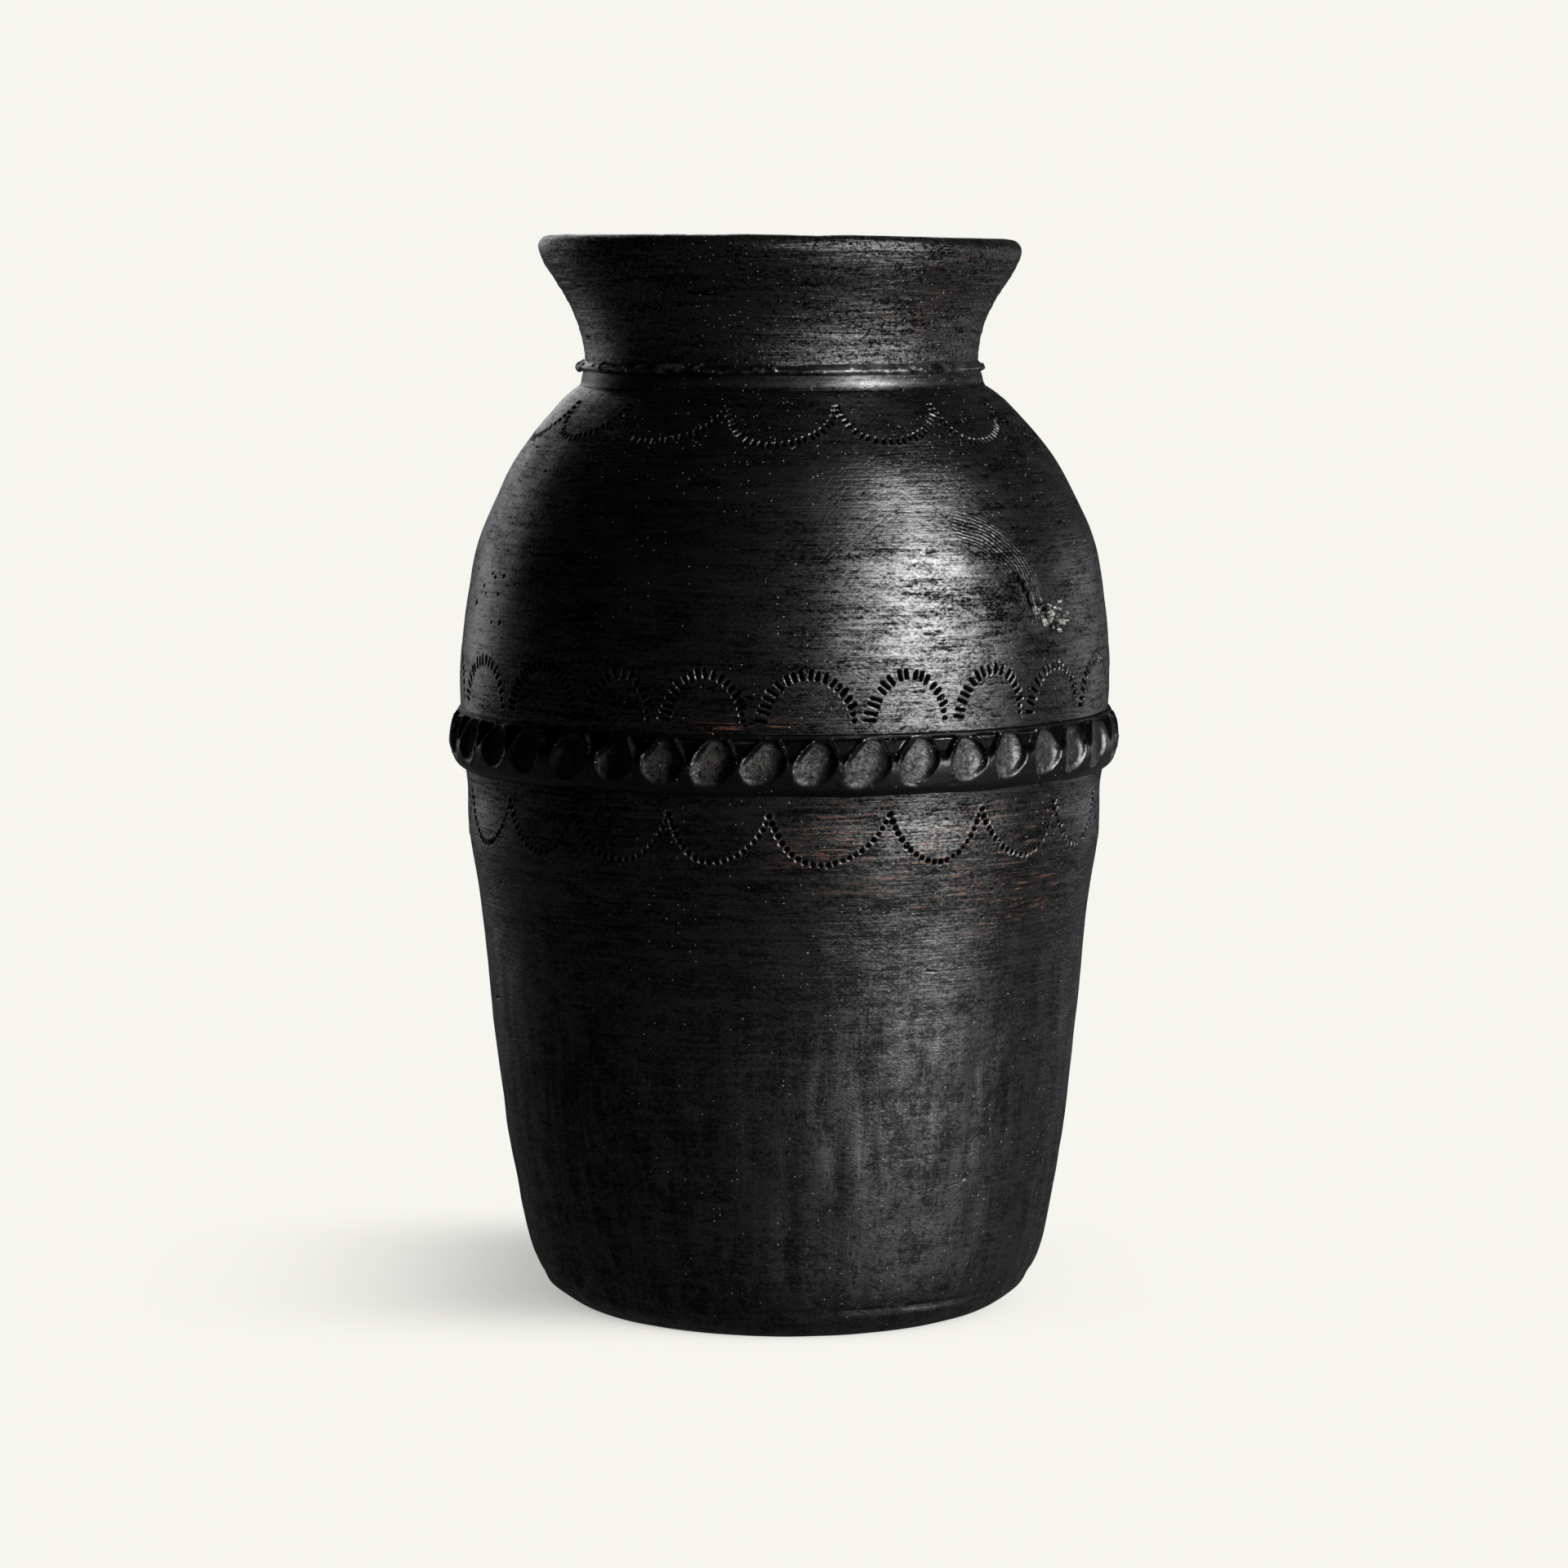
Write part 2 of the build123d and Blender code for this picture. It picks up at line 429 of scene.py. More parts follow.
def wall_piece(name, outer, inner_points, ledge, stamps, columns, skin):
    """A body wall. Its outer face is a grid that is five times finer where marks are stamped."""
    k = FINE_PER_COARSE
    _, _, places = outline(outer, WALL_STEP / k)
    rows = len(places) // k
    radius, height, places = outline(outer, places[-1] / (rows * k))
    angles = even_angles(columns * k)
    relief, touched = press_stamps(stamps, angles, places, radius)
    scraped = skin(angles[None, :], height[:, None])
    # the marks' depths and burrs and the scrapes past SCRAPE_DEPTH go to the material, which paints shade
    # into the hollows and lightens the burrs as crests
    painted_shade_and_crest = relief + np.minimum(scraped + SCRAPE_DEPTH, 0)
    fade = np.minimum(step_up(places, 0, WALL_FADE), step_up(places[-1] - places, 0, WALL_FADE))
    relief = (relief + scraped) * fade[:, None]
    normal_r, normal_z = outward(radius, height)
    r = radius[:, None] + relief * normal_r[:, None]
    z = height[:, None] + relief * normal_z[:, None]

    fine = fine_cells(touched, rows, columns)
    number = number_points(fine, len(angles))
    used = number >= 0
    inner = inner_face(inner_points, ledge, angles[::k])
    start = int(used.sum())
    points = np.concatenate([place(angles[None, :], r, z)[used], inner.reshape(-1, 3)])
    depth = np.concatenate([painted_shade_and_crest[used], np.zeros(inner.shape[0] * inner.shape[1])])
    faces = cell_faces(fine, number)
    faces += ring_faces(len(inner), columns, start, closed=False)
    faces += end_faces(number, start, len(inner))
    return build_mesh(name, points, faces, {"painted_shade_and_crest": depth})


# ---------------- pieces of the pot

LOWER_OUTER = [
    (52.0, SLAB_TOP), (53.1, SLAB_TOP + 1.9), (54.3, 11.9), (55.9, 18.6), (58.5, 32.8), (60.4, 46.9),
    (62.6, 68.0), (64.1, 82.0), (65.5, 92.5), (66.6, 99.4), (66.95, 105.5), (67.0, 110.5), (67.6, 115.0),
    (67.9, WAIST),
]
LOWER_INNER = [
    (46.9, SLAB_TOP), (50.2, 17.5), (52.4, 29.0), (56.4, 61.0), (59.2, 85.5), (61.3, 103.0),
    (62.4, WAIST_INSIDE),
]
UPPER_OUTER = [
    (67.9, WAIST), (68.5, 127.0), (68.65, 132.5), (68.3, 141.0), (67.5, 148.0), (66.55, 154.9), (65.0, 161.8),
    (62.15, 168.7), (58.9, 175.6), (54.4, 182.5), (48.5, 189.3), (44.8, 192.8), (42.4, SHOULDER),
]
UPPER_INNER = [
    (62.4, WAIST_INSIDE), (63.1, 130.0), (62.2, 144.0), (58.6, 161.6), (52.0, 174.8), (44.0, 184.9),
    (36.4, NECK_INSIDE),
]
NECK_FOOT_RADIUS = 40.8
WALL_LEDGE = [(NECK_FOOT_RADIUS, SHOULDER)]     # the flat top of the upper wall, where the neck stands
LOWER_COLUMNS = 352
UPPER_COLUMNS = 360
DABS_FADE = (60, 105)           # the upright dabs die away between these heights

# Rows of scallops: angles of the tips at the front in degrees, how many more tips are round the back, heights
# of tips and bellies, wall radius there, spacing of the strokes, gap at a tip, bow (0 for half ovals, 1 for
# parabolas), range of the arcs' sideways lean, and the function that sizes the strokes.
SWAGS = {
    "tips": (-75.5, -57, -39.5, -20.3, -2.8, 18.2, 36.5, 55.8, 74), "more": 10, "heights": (110.6, 101.2),
    "radius": 66.8, "pitch": 1.42, "inset": 0.6, "bow": 0.6, "skews": (-0.16, 0.12), "look": swag_look,
}
ARCHES = {
    "tips": (-75, -55.5, -36.8, -22, -5.2, 13, 29.3, 45.4, 61.8, 80), "more": 11, "heights": (129.4, 137.6),
    "radius": 68.4, "pitch": 1.37, "inset": 2.6, "bow": 0.3, "skews": (-0.14, 0.14), "look": arch_look,
}
NECKLACE = {
    "tips": (-65, -42, -13.5, 13.2, 39.5, 64), "more": 8, "heights": (191.2, 184.6),
    "radius": 49.5, "pitch": 1.3, "inset": 0.9, "bow": 0.25, "skews": (-0.42, 0.02), "look": necklace_look,
}


def wall_skin(seed):
    """Shallow scraper marks: long and level, with some upright dabs low on the pot."""
    def skin(angle, height):
        level = 0.05 * lattice_noise(angle, height, 34, 3.2, seed)
        dabs = 0.17 * lattice_noise(angle, height, 110, 15, seed + 1)
        flats = 0.10 * lattice_noise(angle, height, 52, 8, seed + 2)
        return level + flats + dabs * (1 - step_up(height, *DABS_FADE))
    return skin


def lower_wall():
    _, height, places = outline(LOWER_OUTER, FACE_STEP)
    stamps = []
    scallops(stamps, SWAGS, height, places, 31)
    add_blemishes(stamps, places, 33, 26)
    return wall_piece("lower_wall_skin", LOWER_OUTER, LOWER_INNER, [], stamps, LOWER_COLUMNS, wall_skin(34))


def upper_wall():
    _, height, places = outline(UPPER_OUTER, FACE_STEP)
    stamps = []
    scallops(stamps, ARCHES, height, places, 41)
    scallops(stamps, NECKLACE, height, places, 43)
    add_blemishes(stamps, places, 45, 20)
    add_scar(stamps, height, places)
    scraped = wall_skin(46)

    def skin(angle, height):
        return scraped(angle, height) + scar_folds(angle, height)

    return wall_piece("upper_wall_skin", UPPER_OUTER, UPPER_INNER, WALL_LEDGE, stamps, UPPER_COLUMNS, skin)


def add_blemishes(stamps, places, seed, count):
    """Scattered pits and short cracks of a fired, hand-smoothed wall."""
    random = np.random.default_rng(seed)
    for _ in range(count):
        angle = random.uniform(-math.pi, math.pi)
        up = random.uniform(places[0] + 5, places[-1] - 5)
        length = random.choice([0.9, 1.1, 2.4, 3.2])
        tilt = random.uniform(-0.3, 0.3)
        width = random.uniform(0.4, 0.7)
        stamps.append((angle, up, tilt, length, width, random.uniform(0.12, 0.3)))


SHOULDER_RADIUS = 65.0
SWEEP_MIDDLE = (math.radians(28.8), 143.7)      # the folds above the scar swing round this angle and height
SWEEP_RADIUS = 22.5
FOLDS = ((0.40, 0.0, 1.0), (0.26, 2.7, 0.8), (0.20, -2.6, 0.8))      # depth, distance off the sweep, breadth
SCAR_ANGLE = math.radians(53.5)
SCAR_HEIGHT = 149.0
SCAR_CRUMBS = 110
CRACK_ANGLE = math.radians(24.9)
CRACK_HEIGHT = 146.3
CRACKS = ((0.0, 0.0, 3.1), (0.030, 0.5, 1.6), (-0.035, 1.4, 1.1))    # turn, rise, length
LEFT_PITS = 9


def scar_folds(angle, height):
    """Smooth folds in the clay that sweep down to the torn patch on the right shoulder."""
    x = (angle - SWEEP_MIDDLE[0]) * SHOULDER_RADIUS
    y = height - SWEEP_MIDDLE[1]
    away = np.hypot(x, y) - SWEEP_RADIUS
    folds = sum(depth * np.exp(-((away - off) / breadth) ** 2) for depth, off, breadth in FOLDS)
    return -folds * window(np.degrees(np.arctan2(y, x)), 10, 20, 40, 92)


def add_scar(stamps, height, places):
    """The torn patch below the folds, a small crack beside it and pits on the left."""
    random = np.random.default_rng(47)
    patch_up = np.interp(SCAR_HEIGHT, height, places)
    for _ in range(SCAR_CRUMBS):
        angle = SCAR_ANGLE + random.normal(0.0, 0.034)
        up = patch_up + random.normal(0, 1.3)
        size = random.uniform(0.5, 1.3)
        tilt = random.uniform(-1.4, 0.2)
        stamps.append((angle, up, tilt, size * 1.5, size, random.choice([-0.6, -0.45, 0.3, 0.5])))
    crack_up = np.interp(CRACK_HEIGHT, height, places)
    for turn, rise, length in CRACKS:
        stamps.append((CRACK_ANGLE + turn, crack_up + rise, -0.12, length, 0.4, 0.25))
    for _ in range(LEFT_PITS):
        angle = math.radians(random.uniform(-78, -60))
        up = np.interp(random.uniform(146, 157), height, places)
        size = random.uniform(0.6, 1.3)
        tilt = random.uniform(-0.5, 0.5)
        stamps.append((angle, up, tilt, size * random.uniform(1, 1.8), size, 0.26))


NECK_OUTER = [
    (NECK_FOOT_RADIUS, SHOULDER), (41.35, 198.0), (41.65, 201.5), (42.7, 206.4), (44.0, 209.8),
    (45.9, 213.3), (48.2, 216.8), (49.95, 219.9), (50.6, NECK_TOP),
]
NECK_BRIM = (44.6, NECK_TOP - 1.4)      # where the inner faces of neck and rim meet
NECK_INNER = [(36.4, NECK_INSIDE), (36.3, 199.5), (37.6, 206.9), (41.0, 214.3), NECK_BRIM]
NECK_COLUMNS = 300
RIM_COLUMNS = 560
COLLAR_COLUMNS = 720
BAND_COLUMNS = 1400
SLAB_COLUMNS = 480
COIL_COLUMNS = 240


def loop_of(outer, inner, outer_step, inner_step):
    """One closed outline: up the outer face and down the inner face, with where each face's points are."""
    out_r, out_z, _ = outline(outer, outer_step)
    in_r, in_z, _ = outline(inner, inner_step)
    radius = np.concatenate([out_r, in_r[::-1]])
    height = np.concatenate([out_z, in_z[::-1]])
    is_outer = np.concatenate([np.ones(len(out_r)), np.zeros(len(in_r))])
    return radius, height, is_outer


def fade_ends(is_outer, height, low, high, margin):
    """1 on the outer face away from its two ends, 0 on the inner face."""
    return is_outer * window(height, low, low + margin, high - margin, high)


def neck():
    radius, height, is_outer = loop_of(NECK_OUTER, NECK_INNER, FACE_STEP, 4 * FACE_STEP)
    angles = even_angles(NECK_COLUMNS)
    noise = partial(lattice_noise, angles, height[:, None])
    brushed = 0.06 * noise(40, 0.62, 51) + 0.065 * noise(64, 0.4, 52) + 0.05 * noise(22, 2.6, 53)
    cuts = np.clip(noise(34, 0.5, 54) - 0.66, 0, 1) * -0.3
    relief = (brushed + cuts) * fade_ends(is_outer, height, SHOULDER + 4, NECK_TOP, 0.7)[:, None]
    # the cuts, counted twice as deep, get painted shade in the material
    marks = {"painted_shade_and_crest": np.minimum(relief * 2, 0)}
    inside = 0.12 * noise(20, 2.5, 55)
    relief = relief + inside * fade_ends(1 - is_outer, height, NECK_INSIDE, NECK_TOP - 2, 3)[:, None]
    return ring_piece("neck_skin", radius, height, relief, angles, marks)


RIM_OUTER = [(50.6, NECK_TOP), (50.78, 222.4), (50.5, 223.6), (49.5, 224.7), (47.6, POT_TOP)]
RIM_INNER = [NECK_BRIM, (44.5, 222.4), (45.1, 223.9), (46.3, 224.8), (47.6, POT_TOP)]


def rim_coil():
    radius, height, is_outer = loop_of(RIM_OUTER, RIM_INNER[:-1], FACE_STEP, 0.5)
    angles = even_angles(RIM_COLUMNS)
    noise = partial(lattice_noise, angles, height[:, None])
    nicks = np.clip(noise(160, 1.0, 63) - 0.72, 0, 1) * -0.5
    relief = 0.04 * noise(60, 0.6, 61) + 0.10 * noise(44, 3.0, 62) + nicks
    relief = relief * fade_ends(is_outer, height, NECK_TOP, POT_TOP + 1, 0.5)[:, None]
    # the rim's nicks get painted shade in the material
    return ring_piece("rim_coil_skin", radius, height, relief, angles, {"painted_shade_and_crest": np.minimum(relief, 0)})


RIDGE_FOOT = (41.95, 197.15)    # where the collar's ridge rises from its roll
COLLAR_OUTER = [(42.9, SHOULDER - 0.25), (42.5, 194.9), (42.35, 195.8), (42.1, 196.7), RIDGE_FOOT]
RIDGE = [
    RIDGE_FOOT, (42.6, 197.5), (42.95, 197.95), (42.7, 198.5), (41.9, 199.0), (41.1, COLLAR_TOP + 0.4),
]
COLLAR_INNER_RADIUS = 40.9
COLLAR_STEP = 0.22
RIDGE_END_ANGLE = math.radians(-86)     # the ridge's thick left end, which stands out in the photo's outline


def neck_collar():
    low_r, low_z, _ = outline(COLLAR_OUTER, COLLAR_STEP)
    ridge_r, ridge_z, _ = outline(RIDGE, COLLAR_STEP)
    radius = np.concatenate([low_r, ridge_r[1:], [COLLAR_INNER_RADIUS] * 2])
    height = np.concatenate([low_z, ridge_z[1:], [COLLAR_TOP - 1, SHOULDER]])
    angles = even_angles(COLLAR_COLUMNS)
    on_outside = radius > COLLAR_INNER_RADIUS + 0.1
    on_ridge = window(height, 197.1, 197.5, 199.2, 199.7) * on_outside
    noise = partial(lattice_noise, angles, height[:, None])
    ragged = noise(110, 1.0, 71) * 0.16
    crumbs = np.clip(noise(190, 0.9, 72) - 0.55, 0, 1) * 0.9
    swell = lattice_noise(angles, 0 * height[:, None], 16, 9, 73) * 0.16
    left_end = np.exp(-((angles - RIDGE_END_ANGLE) / 0.035) ** 2) * 0.75
    relief = (ragged + crumbs + swell + left_end) * on_ridge[:, None]
    on_roll = step_up(height, 194.6, 195.0) * (1 - on_ridge) * on_outside
    relief = relief + 0.025 * noise(60, 0.8, 74) * on_roll[:, None]
    # raised crumbs on the ridge take the lighter crest grey, part wear and part painted highlight; its dents
    # get painted shade
    marks = {"painted_shade_and_crest": 0.5 * relief, "calm": on_roll[:, None]}
    return ring_piece("neck_collar_skin", radius, height, relief, angles, marks)


PRESSES_FRONT = (
    -88, -78, -68, -58, -48.5, -38.3, -29.4, -20.6, -12, -3.8, 4.7, 13.2, 22, 31.2, 40, 49, 57.5, 67, 79,
)
PRESSES_BACK = 20
PRESS_MIDDLE = 121.3
PRESS_SLANT = 0.17              # sideways shift of a press per millimetre of height
BAND_RADIUS = 70.0
BAND_WIDEST = 120.6
BAND_EDGE = 126.3               # height of the band's thin upper edge
BAND_OUTER = [
    (67.2, BAND_BOTTOM - 0.2), (68.3, BAND_BOTTOM + 0.35), (69.5, 115.7), (70.2, 117.2), (70.75, 119.0),
    (70.9, BAND_WIDEST), (70.7, 122.4), (70.3, 124.2), (69.8, 125.4), (69.35, 126.1), (68.9, 126.6),
    (68.2, 127.0),
]
BAND_BACK = [(66.6, BAND_TOP + 0.6), (66.0, 121.0), (66.2, BAND_BOTTOM + 0.2)]
BAND_STEP = 0.29


def band_presses():
    """Angle, height, half width, half height, slant and depth of every fingertip press."""
    random = np.random.default_rng(81)
    presses = []
    for angle in tips_round(PRESSES_FRONT, PRESSES_BACK, 82):
        presses.append((
            angle,
            PRESS_MIDDLE + random.uniform(-0.3, 0.3),
            random.uniform(4.1, 4.6),
            random.uniform(4.6, 5.0),
            PRESS_SLANT + random.uniform(-0.12, 0.12),
            random.uniform(1.8, 2.3),
        ))
    return presses


def across_band(angle, up, centre, slant, middle):
    """Distance round the band from a slanting line, in millimetres, on the near side of the pot."""
    return ((angle - centre + math.pi) % TURN - math.pi) * BAND_RADIUS - slant * (up - middle)


def press_shape(angle, up, press, wave):
    """A press: its depth, the lip lifted on its left, where it counts as pad (more on its left, as painted
    light), and the painted highlight line along its edge.
    """
    centre, middle, half, tall, slant, depth = press
    x = across_band(angle, up, centre, slant, middle)
    y = up - middle
    left = np.abs(x / (half * 0.9)) ** 2.6 + np.abs(y / tall) ** 2.4
    right = np.abs(x / (half * 1.06)) ** 2 + np.abs(y / tall) ** 2
    q = np.where(x < 0, left, right) * wave
    tilt = 0.78 + 0.20 * np.clip(x / half, -1, 1) + 0.14 * np.clip(y / tall, -1, 1)
    soft_foot = 0.80 - 0.4 * np.clip(-y / tall, 0, 1)
    dish = 0.58 * (1 - step_up(q, 0.0, 1.04)) + 0.42 * (1 - step_up(q, soft_foot, 1.04))
    on_left = step_up(-x, -1.5, 1.5) * step_up(y, -3.5, -1)
    lip = 0.17 * np.exp(-((np.sqrt(q) - 1.08) / 0.07) ** 2) * on_left * (1 - step_up(y, 0.5, 2.5))
    # painted light: the pad mark fades from a press's left to its right, so its left is painted a lighter,
    # sandy grey and its right stays glossy black
    pad_lit_left = step_up(1 - q, 0.05, 0.3) * (1 - 0.7 * step_up(x / half, -0.1, 0.9))
    # painted highlight: a thin bright line along the press's left edge
    painted_highlight = np.exp(-((np.sqrt(q) - 1.0) / 0.05) ** 2) * on_left
    return q, depth * tilt * dish, lip, pad_lit_left, painted_highlight


def pocket_shape(angle, up, press, following):
    """The dark pocket between a press and the next one: its depth, and how far the painted shade round it
    spreads.
    """
    centre, middle, _, _, slant, _ = press
    gap = (following[0] - centre) % TURN / 2
    x = np.abs(across_band(angle, up, centre + gap, slant, middle) - 0.2)
    wide = 0.2 + 0.62 * np.clip(up - BAND_WIDEST, 0, 5)
    depth = 1.5 * step_up(wide - x, 0, 0.9) * window(up, BAND_WIDEST, 123.6, 125.6, 126.4)
    # how far the painted shade spreads round the pocket
    shade = step_up(wide + 1.7 - x, 0, 0.8) * window(up, 119.5, 122, 125.8, 126.6)
    return depth, shade


def band_relief(angles, height, is_outer):
    """Change of the band's face from presses, pockets and its torn thin edge; and the material's marks, which
    carry painted shade and painted highlight.
    """
    angle = angles[None, :]
    up = height[:, None]
    relief, pad_lit_left, painted_shade, painted_highlight = np.zeros((4, len(height), len(angles)))
    noise = partial(lattice_noise, angle, up)
    noise_round = partial(lattice_noise, angle, 0.0)
    wave = 1 + 0.16 * noise(62, 3.6, 93) + 0.06 * noise(200, 1.4, 94)
    presses = band_presses()
    for press, following in zip(presses, presses[1:] + presses[:1]):
        q, bowl, lip, press_pad_lit_left, line = press_shape(angle, up, press, wave)
        relief = np.where(q < 1.06, np.minimum(relief, -bowl), relief + lip * (relief > -0.25))
        pad_lit_left = np.maximum(pad_lit_left, press_pad_lit_left)
        painted_highlight = np.maximum(painted_highlight, line)
        pocket, shade = pocket_shape(angle, up, press, following)
        relief = np.minimum(relief, -pocket)
        # painted shade round each pocket, kept off the pads
        painted_shade = np.maximum(painted_shade, shade * (1 - pad_lit_left))

    under_edge = step_up(up, 125.4, 126.2) * (0.55 + 0.45 * noise_round(150, 9, 90))
    relief = np.minimum(relief, -0.6 * under_edge)
    edge = BAND_EDGE + 0.22 * noise_round(46, 9, 83) + 0.12 * noise_round(120, 9, 84)
    above = step_up(up, edge - 0.22, edge + 0.22)
    relief = relief * (1 - above) + 0.05 * above
    crumbs = np.clip(noise(330, 1.1, 85) - 0.7, 0, 1) * 0.8
    grain = 0.035 * noise(420, 0.9, 86)
    tears = np.clip(noise(150, 2.2, 87) - 0.8, 0, 1) * -2.0
    pinch = 0.13 * noise(190, 2.3, 92) * pad_lit_left
    relief = relief + (grain + crumbs + tears) * step_up(up, 115.5, 117) + pinch
    relief = relief + 0.12 * noise(64, 5, 88)
    # painted shade under the band's thin upper edge
    painted_shade = np.maximum(painted_shade, 0.85 * step_up(up, 125.2, 126.0))
    ragged = step_up(noise(260, 1.3, 96), -0.5, 0.5)
    # painted highlight on the presses' left edges; painted shade in the pockets and under the edge
    painted_shade_and_crest = 0.10 * painted_highlight * ragged - 0.3 * painted_shade * (1 - painted_highlight)
    outer = is_outer[:, None]
    return relief * outer, {"painted_shade_and_crest": painted_shade_and_crest, "pad_lit_left": pad_lit_left * outer}


def waist_band():
    out_r, out_z, _ = outline(BAND_OUTER, BAND_STEP)
    back_r, back_z = zip(*BAND_BACK)
    radius = np.concatenate([out_r, back_r])
    height = np.concatenate([out_z, back_z])
    is_outer = np.zeros(len(radius))
    is_outer[1:len(out_r) - 1] = 1
    angles = even_angles(BAND_COLUMNS)
    relief, marks = band_relief(angles, height, is_outer)
    wave = 0.25 * lattice_noise(angles, 0 * height[:, None], 30, 9, 89)
    low = (1 - step_up(height, 114.5, 117.5)) * is_outer
    return ring_piece("waist_band_skin", radius, height, relief, angles, marks, wave * low[:, None], 0.4)


def disc_piece(name, radius, height, relief, angles):
    """Closed solid of revolution; the outline runs from the middle of the underside to that of the top."""
    columns = len(angles)
    points = place(angles[None, :], radius[:, None] + relief, height[:, None] + 0 * relief).reshape(-1, 3)
    faces = ring_faces(len(radius), columns, closed=False)
    last = (len(radius) - 1) * columns
    centre = len(points)
    for j in range(columns):
        onward = (j + 1) % columns
        faces.append([centre, onward, j])
        faces.append([centre + 1, last + j, last + onward])
    points = np.concatenate([points, [[0.0, 0.0, height[0]], [0.0, 0.0, height[-1]]]])
    return build_mesh(name, points, faces, {"painted_shade_and_crest": np.zeros(len(points))})


SLAB_EDGE = [(42.6, 0.0), (45.8, 1.1), (48.9, 3.1), (51.0, 5.2), (52.0, SLAB_TOP)]
COIL_FOOT = (42.0, SLAB_TOP)
COIL_HEAD = (48.2, 11.8)
COIL_BULGE = (0.806, -1.014)    # of the coil's face, outwards and upwards


def base_slab():
    edge_r, edge_z, _ = outline(SLAB_EDGE, 0.45)
    radius = np.concatenate([[2, 14, 26, 36, 41.3], edge_r, [51, 46, 40, 24, 10, 2]])
    height = np.concatenate([[0, 0, 0, 0, 0], edge_z, [SLAB_TOP] * 6])
    angles = even_angles(SLAB_COLUMNS)
    noise = partial(lattice_noise, angles, height[:, None])
    trims = 0.6 * noise(11, 5.5, 91) + 0.22 * noise(46, 2.2, 92)
    on_edge = step_up(radius, 41.5, 42.5) * (1 - step_up(height, SLAB_TOP - 1.6, SLAB_TOP - 0.1))
    return disc_piece("base_slab_skin", radius, height, trims * on_edge[:, None], angles)


def corner_coil():
    share = np.linspace(1, 0, 14)
    arch = np.sin(math.pi * share)
    radius = COIL_FOOT[0] + (COIL_HEAD[0] - COIL_FOOT[0]) * share + COIL_BULGE[0] * arch
    height = COIL_FOOT[1] + (COIL_HEAD[1] - COIL_FOOT[1]) * share + COIL_BULGE[1] * arch
    radius = np.append(radius, 47.0)
    height = np.append(height, SLAB_TOP)
    angles = even_angles(COIL_COLUMNS)
    dents = 0.3 * lattice_noise(angles, height[:, None], 38, 6, 95)
    relief = -dents * np.append(arch, 0)[:, None]
    return ring_piece("corner_coil_skin", radius, height, relief, angles, {"painted_shade_and_crest": 0 * dents})


# ---------------- materials


